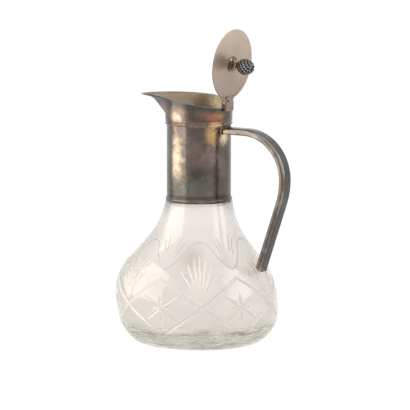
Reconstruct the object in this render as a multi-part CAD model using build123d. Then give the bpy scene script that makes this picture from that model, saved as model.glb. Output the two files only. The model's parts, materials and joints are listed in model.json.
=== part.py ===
from build123d import *
import os
from math import asin, atan2, cos, degrees, pi, radians, sin, sqrt, tan

# Cut-glass claret jug with a plated collar, pouring lip, free-tailed handle and hinged lid.
# Millimetres, +Z up. Origin on the jug's axis where its foot rests. +X points at the handle.

os.makedirs("parts", exist_ok=True)

# ---- glass body
foot_r = 45.0                   # flat of the foot
belly_r = 75.4                  # widest radius
belly_z = 42.0                  # height of the widest radius
heel_z = 8.5                    # height of the rounded heel
heel_r = 64.3                   # radius at the heel
shoulder_z = 88.0               # height of the shoulder's steepest place
shoulder_r = 55.4               # radius there
glass_wall = 4.6                # wall of the belly
foot_thickness = 12.0           # solid glass under the inside
belly_lean = 4.5                # how far the blown belly sits off the axis, towards the spout

# ---- V cuts on the belly: crossing diagonals, a fan over each crossing and a star in each diamond
# Angles are degrees from the middle of a repeat, heights are over the widest radius.
cut_repeats = 6
cut_turn = -53.5                # from the handle to the middle of the first repeat
cut_slope = 0.58                # depth of a cut over its half width
cut_room = 2.4                  # the cutter stands this far out from the root of its cut
diamond_drop = 24.4             # where two diagonals meet below
diamond_rise = 27.9             # and above
diagonal_width = 2.6
diagonal_overrun = 1.8          # the diagonals run on past where they meet
fan_start = 6.5
fan_tips = [(-10.5, 38.0), (0.0, 44.0), (10.5, 38.0)]
fan_width = 3.3
star_angle = 13.4               # half the star's breadth
star_rise = 13.5
star_drop = 11.1
star_width = 3.0

# ---- collar
collar_r = 30.0                 # outside radius of the sleeve
collar_wall = 0.9
collar_bottom_z = 135.0         # where the sleeve sits on the glass
sleeve_height = 76.5
bedding = 1.5                   # plaster layer between glass and sleeve
neck_wall = 3.4                 # glass wall in the neck
neck_top_gap = 8.0              # the glass neck ends this far under the top of the sleeve
ledge_width = 1.2               # the glass ledge stands out this far past the sleeve
line_depth = 0.25               # engraved lines round the foot of the sleeve
line_count = 3
line_pitch = 1.0
line_start = 4.6                # height of the first line above the sleeve's lower edge
foot_wire_height = 3.8
foot_wire_proud = 1.0
band_height = 5.0               # reeded band round the top of the sleeve
band_wall = 0.6
reed_sizes = [0.85, 0.6]        # radii of its two beads, lower one first
reed_fractions = [0.28, 0.76]   # their heights as shares of the band's

# ---- pouring lip
lip_wall = 1.0
lip_step = 1.2                  # the lip's foot stands out this far past the sleeve
mouth_flare = 0.8               # and the round part of the rim this far past the lip's foot
spout_length = 40.0             # nose past the round of the mouth, carried on past where the rim trims it
spout_tip_r = 2.0
rim_rise = 18.5                 # rim over the top of the sleeve, on the axis
rim_slope = 0.14                # rise towards the spout
rim_curve = 0.0019              # fall away to both ends
lip_overrun = 3.4               # the flare is drawn this far over the rim height, then trimmed
lip_stations = [0.0, 0.19, 0.34, 0.48, 0.62, 0.76, 0.83, 0.9, 1.0]     # shares of the lip's height
keel_shares = [0.0, 0.0, 0.11, 0.21, 0.3, 0.4, 0.52, 0.78, 1.0]       # how far the spout has grown at each
lip_side_points = 10            # points on each side of a lip section

# ---- hinge and lid
hinge_setback = 0.0             # hinge axis from the round of the mouth
hinge_drop = 1.0                # hinge axis below the rim's height on the jug's axis
hinge_width = 12.0
knuckle_r = 2.6
knuckle_side_gap = 0.15
centre_knuckle = 4.0            # share of the width that the lid's own knuckle takes
pin_r = 1.1
pin_clearance = 0.05
pin_head = 0.4
hinge_block_height = 7.8        # from the axis to the block's lower edge
stop_tail = 5.1                 # tail under the axis that stops the lid
stop_thickness = 1.5
stop_gap = 0.1
strap_reach = 6.0               # strap's upper edge from the axis
strap_wall = 0.9
open_lean = 5.5                 # degrees past vertical when open
lid_overhang = 1.0              # lid past the round of the mouth
lid_wall = 1.1
lid_edge_gap = 3.2              # from the axis to the lid's edge
lid_edge_round = 0.4

# ---- finial
flange_r = 7.5
flange_height = 1.4
step_r = 6.0
step_height = 1.3
waist_r = 2.7
stem_height = 5.0
cup_r = 4.4
bud_r = 7.6
bud_height = 15.0
bud_tip = 1.2
stud_r = 1.5
stud_in_bud = 6.0
nut_flats = 6.0
nut_height = 2.2
stud_past_nut = 0.6

# ---- handle
handle_width = 14.0
handle_depth = 6.0
handle_wall = 1.4
handle_round = 3.2              # of the edges along its outer face
handle_soften = 1.2             # and along its inner face
handle_top_drop = 5.8           # from the top of the sleeve to the handle's top face
finger_room = 62.5              # from the sleeve to the bow's inner face
bow_r = 45.0                    # outer radius of the top bow
sweep_r = 70.0                  # outer radius of the easing below it
tail_angle = 19.5               # degrees the tail leans in
tail_clear = 7.6                # level gap from the tail's inner corner to the glass
tail_cut = 45.0                 # degrees of the cut at the tail's end
root_plate_width = 17.0
root_plate_height = 7.2
root_plate_wall = 1.4

fit_gap = 0.1                   # between curved faces that are bedded or soldered together
seat_gap = 0.02
tail_halvings = 30              # steps in finding where the tail ends

# ---- worked out from the above
sleeve_top_z = collar_bottom_z + sleeve_height
sleeve_in = collar_r - collar_wall
neck_r = sleeve_in - bedding
bore_r = neck_r - neck_wall
ledge_r = collar_r + ledge_width
ledge_z = collar_bottom_z
neck_top_z = sleeve_top_z - neck_top_gap
band_z = sleeve_top_z - band_height
lip_r = collar_r + lip_step
mouth_r = lip_r + mouth_flare
spout_reach = mouth_r + spout_length
rim_z = sleeve_top_z + rim_rise
lip_height = rim_rise + lip_overrun
hinge_x = mouth_r + hinge_setback
hinge_z = rim_z - hinge_drop
lid_r = mouth_r + lid_overhang
handle_reach = collar_r + finger_room + handle_depth
handle_top_z = sleeve_top_z - handle_top_drop


def between(a, b, share):
    return a + (b - a) * share


def lean_at(z):
    # the belly drifts off the axis and comes back to it at the heel and under the collar
    share = min(max((z - heel_z) / (ledge_z - heel_z), 0.0), 1.0)
    return -belly_lean * sin(pi * share) ** 2


def tube(outer, inner, low, high):
    ring = Circle(outer) - Circle(inner)
    return Pos(0, 0, low) * extrude(ring, high - low)


def spun(points):
    # solid turned from (radius, height) points
    return revolve(make_face(Plane.XZ * Polyline(*points, close=True)), Axis.Z)


def stack(stations):
    # smooth solid through leaning rings of (height, radius)
    rings = [Pos(lean_at(z), 0, z) * Circle(r) for z, r in stations]
    return loft(rings)


def outer_stations():
    return [
        (0.0, foot_r),
        (heel_z * 0.1, between(foot_r, heel_r, 0.26)),
        (heel_z * 0.36, between(foot_r, heel_r, 0.64)),
        (heel_z, heel_r),
        (between(heel_z, belly_z, 0.35), between(heel_r, belly_r, 0.72)),
        (between(heel_z, belly_z, 0.7), between(heel_r, belly_r, 0.95)),
        (belly_z, belly_r),
        (between(belly_z, shoulder_z, 0.3), between(belly_r, shoulder_r, 0.045)),
        (between(belly_z, shoulder_z, 0.55), between(belly_r, shoulder_r, 0.245)),
        (between(belly_z, shoulder_z, 0.78), between(belly_r, shoulder_r, 0.57)),
        (shoulder_z, shoulder_r),
        (between(shoulder_z, ledge_z, 0.25), between(shoulder_r, ledge_r, 0.39)),
        (between(shoulder_z, ledge_z, 0.5), between(shoulder_r, ledge_r, 0.69)),
        (between(shoulder_z, ledge_z, 0.75), between(shoulder_r, ledge_r, 0.885)),
        (ledge_z, ledge_r),
    ]


def inner_stations():
    # follows the outside one wall in, over a rounded floor
    wide = [(z, r - glass_wall) for z, r in outer_stations() if z > foot_thickness + glass_wall]
    floor_r = wide[0][1]
    rise = wide[0][0] - foot_thickness
    floor = [(foot_thickness, floor_r * 0.6), (foot_thickness + rise * 0.3, floor_r * 0.86)]
    return floor + wide[:-1] + [(ledge_z, bore_r)]


def wall_hit(blown, start, way):
    # where a line leaves the glass, and which way the surface faces there
    hits = blown.find_intersection_points(Axis(start, way))
    return max(hits, key=lambda hit: (hit[0] - start).dot(way))


def wall_place(blown, angle, rise):
    z = belly_z + rise
    turn = radians(cut_turn + angle)
    return wall_hit(blown, Vector(lean_at(z), 0, z), Vector(cos(turn), sin(turn), 0))[0]


def mitre(blown, turn, start, end, width, end_depth, overrun):
    # a wheel's V cut between two places: its root is an arc this deep under them, run on past both
    first = wall_place(blown, turn + start[0], start[1])
    last = wall_place(blown, turn + end[0], end[1])
    middle = (first + last) / 2
    along = (last - first).normalized()
    inside = Vector(lean_at(middle.Z), 0, middle.Z)
    facing = wall_hit(blown, inside, middle - inside)[1]
    out = (facing - along * facing.dot(along)).normalized()
    sag = (wall_hit(blown, middle, out)[0] - middle).dot(out) - width / 2 * cut_slope + end_depth
    half = (last - first).length / 2
    bend = (half ** 2 + sag ** 2) / (2 * sag)
    spread = cut_room / cut_slope
    section = Polyline((bend, 0), (bend + cut_room, spread), (bend + cut_room, -spread), close=True)
    arc = degrees(asin(half / abs(bend)) + overrun / abs(bend))
    cutter = Rot(0, 0, -arc) * revolve(make_face(Plane.XZ * section), Axis.Z, 2 * arc)
    centre = middle + out * (sag - end_depth - bend)
    return Plane(origin=centre, x_dir=out, z_dir=out.cross(along)) * cutter


def cut_lines():
    # the cuts of one repeat: both ends, width, depth kept at the ends, and how far they run on past them
    side = 180 / cut_repeats
    lines = [((0, fan_start), tip, fan_width, 0.0, 0.0) for tip in fan_tips]
    for way in (-1, 1):
        diagonal = (-side * way, -diamond_drop), (side * way, diamond_rise)
        lines.append((*diagonal, diagonal_width, diagonal_width / 2 * cut_slope, diagonal_overrun))
        ray = (side - star_angle * way, star_rise), (side + star_angle * way, -star_drop)
        lines.append((*ray, star_width, 0.0, 0.0))
    return lines


def glass_body():
    neck = Pos(0, 0, ledge_z) * extrude(Circle(neck_r), neck_top_z - ledge_z)
    bore = Pos(0, 0, ledge_z) * extrude(Circle(bore_r), neck_top_z - ledge_z)
    blown = stack(outer_stations())
    turns = [360 / cut_repeats * repeat for repeat in range(cut_repeats)]
    cutters = [mitre(blown, turn, *line) for turn in turns for line in cut_lines()]
    return (blown + neck) - stack(inner_stations()) - bore - cutters


def neck_plaster():
    return tube(sleeve_in - fit_gap, neck_r + fit_gap, ledge_z, neck_top_z)


def collar_sleeve():
    outline = [(sleeve_in, collar_bottom_z), (collar_r, collar_bottom_z)]
    for index in range(line_count):
        z = collar_bottom_z + line_start + index * line_pitch
        outline += [(collar_r, z - line_depth), (collar_r - line_depth, z), (collar_r, z + line_depth)]
    outline += [(collar_r, sleeve_top_z), (sleeve_in, sleeve_top_z)]
    return spun(outline)


def beaded_ring(inner, wall, low, high, beads):
    # flat ring with half-round beads of (height, radius) on its outside
    ring = tube(inner + wall, inner, low, high)
    for z, r in beads:
        bead = Pos(inner + wall, 0, z) * (Plane.XZ * Circle(r))
        ring += revolve(bead, Axis.Z) - Pos(0, 0, z - r) * extrude(Circle(inner + wall / 2), 2 * r)
    return ring


def collar_foot_wire():
    half = foot_wire_height / 2
    low = collar_bottom_z
    inner = collar_r + fit_gap
    face = make_face([
        Plane.XZ * Line((inner, low), (inner, low + foot_wire_height)),
        Plane.XZ * ThreePointArc((inner, low + foot_wire_height), (inner + foot_wire_proud, low + half),
                                 (inner, low)),
    ])
    return revolve(face, Axis.Z)


def reeded_band():
    beads = [(band_z + share * band_height, size) for share, size in zip(reed_fractions, reed_sizes)]
    return beaded_ring(collar_r + fit_gap, band_wall, band_z, sleeve_top_z, beads)


def lip_section(share, keel, inset, raise_by):
    # one ring of the lip: a round mouth drawn out to a small nose on the spout's side
    main = between(lip_r, mouth_r, share) - inset
    nose_x = between(main, spout_reach - inset, keel)
    nose_r = between(main, spout_tip_r, sqrt(keel))
    centre = nose_x - nose_r
    slant = (main - nose_r) / centre if keel else 0.0
    flank = sqrt(1 - slant ** 2)
    nose_end = atan2(nose_r * flank, centre + nose_r * slant)
    round_start = atan2(flank, slant)
    points = []
    for step in range(lip_side_points + 1):
        angle = pi * (step / lip_side_points) ** 1.7
        if angle >= round_start or not keel:
            reach = main
        elif angle <= nose_end:
            reach = centre * cos(angle) + sqrt(nose_r ** 2 - (centre * sin(angle)) ** 2)
        else:
            reach = main / (slant * cos(angle) + flank * sin(angle))
        points.append((-reach * cos(angle), reach * sin(angle)))
    mirrored = [(x, -y) for x, y in reversed(points[1:-1])]
    ring = make_face(Spline(*(points + mirrored), periodic=True))
    return Pos(0, 0, sleeve_top_z + share * lip_height + raise_by) * ring


def lip_stack(inset, raise_by):
    rings = [lip_section(share, keel, inset, raise_by) for share, keel in zip(lip_stations, keel_shares)]
    if raise_by:
        rings.insert(0, lip_section(0.0, 0.0, inset, -raise_by))
    return loft(rings)


def rim_height(x):
    return rim_z - rim_slope * x - rim_curve * x ** 2


def above_rim():
    # everything over the curved rim
    low_x, high_x = -spout_reach - lip_r, mouth_r + lip_r
    xs = [between(low_x, high_x, share) for share in (0.0, 0.25, 0.5, 0.75, 1.0)]
    curve = Spline(*[(x, rim_height(x)) for x in xs])
    top = rim_z + lip_height * 2
    sides = Polyline((high_x, rim_height(high_x)), (high_x, top), (low_x, top), (low_x, rim_height(low_x)))
    return extrude(make_face(Plane.XZ * (curve + sides)), mouth_r * 2, both=True)


def pouring_lip():
    return lip_stack(0.0, 0.0) - lip_stack(lip_wall, lip_wall) - above_rim()


def along_y(x, z, r, low, high):
    return Pos(x, low, z) * (Rot(-90, 0, 0) * extrude(Circle(r), high - low))


def box_between(low, high):
    size = [b - a for a, b in zip(low, high)]
    centre = [(a + b) / 2 for a, b in zip(low, high)]
    return Pos(*centre) * Box(*size)


def hinge_collar_leaf():
    half = hinge_width / 2
    inner_half = centre_knuckle / 2
    face_x = hinge_x + knuckle_r
    low = hinge_z - hinge_block_height
    notch_z = hinge_z - stop_tail - stop_gap * 2
    leaf = box_between((hinge_x - knuckle_r, -half, low), (face_x, half, hinge_z))
    for side in (-1, 1):
        ends = sorted((side * inner_half, side * half))
        leaf += along_y(hinge_x, hinge_z, knuckle_r, *ends)
    room = knuckle_r + stop_gap * 3
    leaf -= along_y(hinge_x, hinge_z, room, -inner_half, inner_half)
    slot_ends = [
        (hinge_x - knuckle_r, hinge_z - knuckle_r / 2),          # clears the lid's knuckle
        (face_x - stop_thickness - stop_gap, notch_z),           # clears its stop tail
    ]
    for x, z in slot_ends:
        leaf -= box_between((x, -inner_half, z), (face_x, inner_half, hinge_z))
    rim_top = rim_height(hinge_x - knuckle_r)
    back_r = between(lip_r, mouth_r, (rim_top - sleeve_top_z) / lip_height) + fit_gap
    leaf -= Pos(0, 0, low) * extrude(Circle(back_r), rim_top - low + fit_gap)
    return leaf - along_y(hinge_x, hinge_z, pin_r + seat_gap, -half, half)


def hinge_pin():
    reach = hinge_width / 2 + pin_head
    return along_y(hinge_x, hinge_z, pin_r, -reach, reach)


# The lid's pieces are drawn upright over the hinge axis, outer face towards +X, then tipped open.

lid_face = knuckle_r - strap_wall          # outer face of the lid from the axis
lid_centre = lid_edge_gap + lid_r


def opened(piece):
    return Pos(hinge_x, 0, hinge_z) * (Rot(0, open_lean, 0) * piece)


def on_lid(piece):
    # local +Z becomes the outward direction at the middle of the lid's outer face
    return opened(Pos(lid_face, 0, lid_centre) * (Rot(0, 90, 0) * piece))


def hinge_lid_leaf():
    half = hinge_width / 2
    inner_half = centre_knuckle / 2 - knuckle_side_gap
    start = knuckle_r + stop_gap * 2
    leaf = along_y(0, 0, knuckle_r, -inner_half, inner_half)
    leaf += box_between((lid_face, -inner_half, 0), (knuckle_r, inner_half, strap_reach))
    leaf += box_between((lid_face, -half, start), (knuckle_r, half, strap_reach))
    tail = box_between((knuckle_r - stop_thickness, -inner_half, -stop_tail), (knuckle_r, inner_half, 0))
    tail = Rot(0, -open_lean, 0) * tail
    leaf += tail
    return opened(leaf - along_y(0, 0, pin_r + pin_clearance, -half, half))


def lid_plate():
    disc = extrude(Circle(lid_r), -lid_wall)
    disc = fillet(disc.edges(), lid_edge_round)
    return on_lid(disc - extrude(Circle(stud_r + seat_gap), lid_wall, both=True))


def finial_base():
    top = flange_height + step_height
    throat = top + stem_height
    hole = stud_r + seat_gap
    outline = Polyline((hole, throat), (hole, 0), (flange_r, 0), (flange_r, flange_height / 2))
    outline += Line((flange_r, flange_height / 2), (step_r, flange_height))
    outline += Line((step_r, flange_height), (step_r, top))
    outline += Spline((step_r, top), (waist_r, top + stem_height / 2), (cup_r, throat))
    outline += Line((cup_r, throat), (hole, throat))
    return on_lid(revolve(make_face(Plane.XZ * outline), Axis.Z))


def finial_bud():
    low = flange_height + step_height + stem_height
    outline = Line((0, low), (cup_r * 0.8, low))
    outline += Spline((cup_r * 0.8, low), (bud_r, low + bud_height * 0.42), (bud_tip, low + bud_height))
    outline += Polyline((bud_tip, low + bud_height), (0, low + bud_height), (0, low))
    bud = revolve(make_face(Plane.XZ * outline), Axis.Z)
    socket = Pos(0, 0, low) * extrude(Circle(stud_r + seat_gap), stud_in_bud + seat_gap)
    return on_lid(bud - socket)


def finial_stud():
    low = -lid_wall - nut_height - stud_past_nut
    high = flange_height + step_height + stem_height + stud_in_bud
    return on_lid(Pos(0, 0, low) * extrude(Circle(stud_r), high - low))


def finial_nut():
    hexagon = RegularPolygon(nut_flats / 2, 6, major_radius=False) - Circle(stud_r + seat_gap)
    return on_lid(Pos(0, 0, -lid_wall - nut_height) * extrude(hexagon, nut_height))


# The handle is a hollow bar: a rounded channel closed by a flat strip on the finger side.

def sweep_end():
    # outer face where the easing ends and the straight tail begins
    lean = radians(tail_angle)
    return handle_reach - sweep_r * (1 - cos(lean)), handle_top_z - bow_r - sweep_r * sin(lean)


def tail_face_x(z, inset):
    # the straight tail at a height, this far in from its outer face
    x, top = sweep_end()
    lean = radians(tail_angle)
    return x - (top - z) * tan(lean) - inset / cos(lean)


def glass_face_x(z):
    # the glass towards the handle at a height, straight between its stations
    stations = outer_stations()
    for (z0, r0), (z1, r1) in zip(stations, stations[1:]):
        if z0 <= z <= z1:
            return between(r0, r1, (z - z0) / (z1 - z0)) + lean_at(z)
    return ledge_r


def tail_end():
    # the tail's outer corner, set where its inner corner keeps its gap to the glass
    low, high = belly_z, sweep_end()[1]
    for _ in range(tail_halvings):
        middle = (low + high) / 2
        if tail_face_x(middle, handle_depth) - glass_face_x(middle) > tail_clear:
            high = middle
        else:
            low = middle
    lean, cut = radians(tail_angle), radians(tail_cut)
    step = handle_depth * sin(cut) / cos(cut - lean)
    return tail_face_x(high - step, 0.0), high - step


def handle_profile(outer_inset, inner_inset):
    # side view between two lines set in from the outer face
    bow_x, bow_z = handle_reach - bow_r, handle_top_z - bow_r
    sweep_x = handle_reach - sweep_r
    lean = radians(tail_angle)
    tail_run = (sweep_end()[1] - tail_end()[1] + handle_depth * 2) / cos(lean)

    def line_at(inset):
        bow, sweep = bow_r - inset, sweep_r - inset
        end = (sweep_x + sweep * cos(lean), bow_z - sweep * sin(lean))
        return [
            (0.0, bow_z + bow),
            (bow_x, bow_z + bow),
            (bow_x + bow * sin(pi / 4), bow_z + bow * sin(pi / 4)),
            (bow_x + bow, bow_z),
            (sweep_x + sweep * cos(lean / 2), bow_z - sweep * sin(lean / 2)),
            end,
            (end[0] - tail_run * sin(lean), end[1] - tail_run * cos(lean)),
        ]

    edges = []
    ends = []
    for inset in (outer_inset, inner_inset):
        p = line_at(inset)
        edges += [Line(p[0], p[1]), ThreePointArc(p[1], p[2], p[3]), ThreePointArc(p[3], p[4], p[5]),
                  Line(p[5], p[6])]
        ends.append((p[0], p[6]))
    edges += [Line(ends[0][0], ends[1][0]), Line(ends[0][1], ends[1][1])]
    return make_face(Plane.XZ * Wire(edges))


def tail_slab(side, thickness):
    # slab on one side of the plane that cuts the tail
    x, z = tail_end()
    slab = Box(bow_r, bow_r, thickness, align=(Align.CENTER, Align.CENTER, side))
    return Pos(x, 0, z) * (Rot(0, tail_cut, 0) * slab)


def handle_bar(outer_inset, inner_inset, width):
    return extrude(handle_profile(outer_inset, inner_inset), width / 2, both=True)


def trimmed(bar):
    # ended at the root plate above and at the slanting cut below
    root = extrude(Circle(collar_r + fit_gap + root_plate_wall), sleeve_top_z)
    return bar - tail_slab(Align.MAX, bow_r) - root


def edges_along(bar, inset):
    # the long edges of the face that lies this far in from the outer one
    face = handle_profile(inset - fit_gap, inset + fit_gap)
    spots = [(edge, edge @ 0.5) for edge in bar.edges() if edge.length > handle_depth * 2]
    return [edge for edge, spot in spots if face.distance_to(Vector(spot.X, 0, spot.Z)) < fit_gap]


def handle_channel():
    bar = handle_bar(0, handle_depth, handle_width)
    bar = fillet(edges_along(bar, 0), handle_round)
    bar = fillet(edges_along(bar, handle_depth), handle_soften)
    return trimmed(bar - handle_bar(handle_wall, handle_depth + fit_gap, handle_width - 2 * handle_wall))


def handle_strip():
    width = handle_width - 2 * (handle_wall + fit_gap)
    return trimmed(handle_bar(handle_depth - handle_wall, handle_depth, width))


def handle_end_cap():
    inner = handle_depth - handle_wall - seat_gap
    width = handle_width - 2 * (handle_wall + fit_gap)
    return trimmed(handle_bar(handle_wall + seat_gap, inner, width)) & tail_slab(Align.MIN, handle_wall)


def handle_root_plate():
    middle = handle_top_z - handle_depth / 2
    half = root_plate_width / 2
    inner = collar_r + fit_gap
    block = box_between((0, -half, middle - root_plate_height / 2),
                        (inner + root_plate_wall, half, middle + root_plate_height / 2))
    ring = tube(inner + root_plate_wall, inner, 0, sleeve_top_z)
    return block & ring


makers = [
    glass_body, neck_plaster, collar_sleeve, collar_foot_wire, reeded_band, pouring_lip,
    hinge_collar_leaf, hinge_pin, hinge_lid_leaf, lid_plate,
    finial_base, finial_bud, finial_stud, finial_nut,
    handle_channel, handle_strip, handle_end_cap, handle_root_plate,
]

for maker in makers:
    export_step(maker(), f"parts/{maker.__name__}.step")
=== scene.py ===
import json
from math import atan2, ceil, cos, hypot, pi, radians, sin, sqrt

import bmesh
import bpy
import numpy as np
from mathutils import Matrix, Vector
from mathutils.bvhtree import BVHTree
from mathutils.geometry import delaunay_2d_cdt

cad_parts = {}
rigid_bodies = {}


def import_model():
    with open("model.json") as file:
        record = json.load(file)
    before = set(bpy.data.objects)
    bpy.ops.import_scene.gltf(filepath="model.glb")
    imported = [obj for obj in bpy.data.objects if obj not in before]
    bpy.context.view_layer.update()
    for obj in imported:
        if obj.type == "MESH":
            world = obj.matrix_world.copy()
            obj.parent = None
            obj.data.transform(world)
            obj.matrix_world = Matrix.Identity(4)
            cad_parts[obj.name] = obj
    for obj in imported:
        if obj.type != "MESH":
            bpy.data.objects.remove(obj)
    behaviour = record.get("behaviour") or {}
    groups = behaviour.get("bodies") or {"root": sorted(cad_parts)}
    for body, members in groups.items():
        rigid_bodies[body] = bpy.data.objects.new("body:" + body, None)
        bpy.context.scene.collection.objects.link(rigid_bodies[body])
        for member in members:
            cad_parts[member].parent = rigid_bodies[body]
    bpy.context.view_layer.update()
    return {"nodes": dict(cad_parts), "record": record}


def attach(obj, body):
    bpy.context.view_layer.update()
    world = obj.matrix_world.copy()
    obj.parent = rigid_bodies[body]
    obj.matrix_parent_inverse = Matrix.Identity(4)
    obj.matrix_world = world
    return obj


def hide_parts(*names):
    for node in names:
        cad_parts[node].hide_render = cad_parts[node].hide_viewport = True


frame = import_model()
print("frame loaded")

mm = 0.001                          # everything below is written in millimetres
hingeJoint = frame["record"]["behaviour"]["joints"][0]
hingeAt = Vector(hingeJoint["pos_m"]) / mm
openLean = radians(5.5)             # the lid stands this far past upright


# the studio: camera, lamps, white room and floor

cameraSetup = {
    "azimuth": radians(33),         # from straight ahead, towards the handle's side
    "elevation": radians(8),
    "distance": 10000,
    "fieldWidth": 382.1,            # millimetres across the frame at the jug
    "aimHeight": 130.2,
    "aimShift": 5.69,               # the frame's middle is this far right of the jug's axis
    "sensor": 36,
}
lampSetup = {
    "key": {"turn": -76, "reach": 700, "wide": 760, "low": 12, "high": 900, "radiance": 2.7,
            "colour": "#FFF7EA"},
    "fill": {"turn": 68, "reach": 800, "wide": 560, "low": 160, "high": 900, "radiance": 2.0,
             "colour": "#F6F4FF"},
}
roomSetup = {"ambient": 0.46, "ambientColour": "#FFFBF6", "floorReach": 6000, "floorDrop": 0.05,
    "floorGlow": 0.9, "floorShade": 0.25, "floorBounce": "#E6E4E0"}


def hexColour(code):
    # sRGB hex to the linear colour that Blender's sockets hold
    channels = [int(code[i:i + 2], 16) / 255 for i in (1, 3, 5)]
    linear = [c / 12.92 if c <= 0.04045 else ((c + 0.055) / 1.055) ** 2.4 for c in channels]
    return (*linear, 1.0)


def addNode(tree, kind, inputs=None, **settings):
    # an input is a value, a hex colour, a socket, or a node for its first live output
    node = tree.nodes.new(kind)
    for key, value in settings.items():
        setattr(node, key, value)
    for key, value in (inputs or {}).items():
        if isinstance(value, bpy.types.Node):
            value = next(output for output in value.outputs if output.enabled)
        if isinstance(value, bpy.types.NodeSocket):
            tree.links.new(value, node.inputs[key])
        else:
            colour = isinstance(value, str) and value.startswith("#")
            node.inputs[key].default_value = hexColour(value) if colour else value
    return node


def addObject(name, data):
    made = bpy.data.objects.new(name, data)
    bpy.context.collection.objects.link(made)
    return made


def emptyTree(owner):
    owner.use_nodes = True
    owner.node_tree.nodes.clear()
    return owner.node_tree


def setStops(node, stops):
    # colours along a ramp, as places and hex codes
    elements = node.color_ramp.elements
    while len(elements) < len(stops):
        elements.new(0.5)
    for element, (place, code) in zip(elements, stops):
        element.position = place
        element.color = hexColour(code)
    return node


def viewAxes():
    turn, lift = cameraSetup["azimuth"], cameraSetup["elevation"]
    right = Vector((cos(turn), sin(turn), 0))
    back = Vector((sin(turn) * cos(lift), -cos(turn) * cos(lift), sin(lift)))
    return right, back


def makeCamera():
    right, back = viewAxes()
    data = bpy.data.cameras.new("camera")
    data.sensor_width = cameraSetup["sensor"]
    data.lens = cameraSetup["sensor"] * cameraSetup["distance"] / cameraSetup["fieldWidth"]
    data.clip_end = 100
    camera = addObject("camera", data)
    aim = Vector((0, 0, cameraSetup["aimHeight"])) + right * cameraSetup["aimShift"]
    camera.location = (aim + back * cameraSetup["distance"]) * mm
    camera.rotation_euler = back.to_track_quat("Z", "Y").to_euler()
    bpy.context.scene.camera = camera


def makeLamp(name, turn, reach, wide, low, high, radiance, colour):
    # an upright soft box, turned from the camera's side of the jug round to the right
    data = bpy.data.lights.new(name, "AREA")
    data.shape = "RECTANGLE"
    data.size, data.size_y = wide * mm, (high - low) * mm
    data.energy = radiance * pi * data.size * data.size_y
    data.color = hexColour(colour)[:3]
    lamp = addObject(name, data)
    lamp.visible_camera = lamp.visible_transmission = False
    around = cameraSetup["azimuth"] + radians(turn)
    out = Vector((sin(around), -cos(around), 0))
    lamp.location = (out * reach + Vector((0, 0, (low + high) / 2))) * mm
    lamp.rotation_euler = out.to_track_quat("Z", "Y").to_euler()


def seenDirectly(tree):
    # 1 for rays from the camera and for what metal and glass show
    path = addNode(tree, "ShaderNodeLightPath")
    first = addNode(tree, "ShaderNodeMath", {0: path.outputs["Is Camera Ray"],
        1: path.outputs["Is Glossy Ray"]}, operation="ADD")
    return addNode(tree, "ShaderNodeMath", {0: first, 1: path.outputs["Is Transmission Ray"]},
        operation="ADD", use_clamp=True)


def makeWorld():
    world = bpy.data.worlds.new("white studio")
    bpy.context.scene.world = world
    tree = emptyTree(world)
    room = addNode(tree, "ShaderNodeBackground",
        {"Color": roomSetup["ambientColour"], "Strength": roomSetup["ambient"]})
    white = addNode(tree, "ShaderNodeBackground", {"Color": "#FFFFFF", "Strength": 1.0})
    mix = addNode(tree, "ShaderNodeMixShader", {0: seenDirectly(tree), 1: room, 2: white})
    addNode(tree, "ShaderNodeOutputWorld", {"Surface": mix})


def makeFloor():
    reach, drop = roomSetup["floorReach"] * mm, roomSetup["floorDrop"] * mm
    mesh = bpy.data.meshes.new("floor")
    corners = [(-reach, -reach, -drop), (reach, -reach, -drop), (reach, reach, -drop),
        (-reach, reach, -drop)]
    mesh.from_pydata(corners, [], [(0, 1, 2, 3)])
    floor = addObject("floor", mesh)
    # matt and even, with the jug's shadow on it
    material = bpy.data.materials.new("white paper sweep")
    tree = emptyTree(material)
    paper = addNode(tree, "ShaderNodeBsdfDiffuse", {"Color": roomSetup["floorBounce"]})
    shade = addNode(tree, "ShaderNodeBsdfDiffuse", {"Color": [roomSetup["floorShade"]] * 3 + [1]})
    glow = addNode(tree, "ShaderNodeEmission", {"Strength": roomSetup["floorGlow"]})
    seen = addNode(tree, "ShaderNodeAddShader", {0: shade, 1: glow})
    mix = addNode(tree, "ShaderNodeMixShader", {0: seenDirectly(tree), 1: paper, 2: seen})
    addNode(tree, "ShaderNodeOutputMaterial", {"Surface": mix})
    mesh.materials.append(material)


makeCamera()
for lampName, lampSizes in lampSetup.items():
    makeLamp(lampName, **lampSizes)
makeWorld()
makeFloor()
bpy.context.scene.view_settings.view_transform = "Standard"
for bounceKind in ("max_bounces", "glossy_bounces", "transmission_bounces"):
    setattr(bpy.context.scene.cycles, bounceKind, 28)       # light runs far inside the thick foot
print("studio ready")


# materials, all procedural

def startMaterial(name, **sockets):
    # a principled material with these sockets set, its tree and its shader
    material = bpy.data.materials.new(name)
    tree = emptyTree(material)
    shader = addNode(tree, "ShaderNodeBsdfPrincipled",
        {key.replace("_", " "): value for key, value in sockets.items()})
    output = addNode(tree, "ShaderNodeOutputMaterial", {"Surface": shader})
    return material, tree, shader, output


def join(tree, source, target):
    tree.links.new(next(output for output in source.outputs if output.enabled), target)


def patternPlace(tree):
    # object coordinates in millimetres
    coords = addNode(tree, "ShaderNodeTexCoord")
    return addNode(tree, "ShaderNodeVectorMath", {0: coords.outputs["Object"], "Scale": 1 / mm},
        operation="SCALE")


def mottle(tree, place, size, detail=3.0, stretch=(1, 1, 1)):
    # blotches about this many millimetres across, drawn out where stretched
    grid = addNode(tree, "ShaderNodeMapping", {"Vector": place,
        "Scale": [1 / (size * part) for part in stretch]})
    return addNode(tree, "ShaderNodeTexNoise",
        {"Vector": grid, "Scale": 1.0, "Detail": detail, "Roughness": 0.55})


mottleRange = {"From Min": 0.3, "From Max": 0.7}        # where nearly all of a mottle's values lie
falling = {"To Min": 1.0, "To Max": 0.0}
wanderSize = 6.0                    # of the pattern that stains' edges follow


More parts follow.
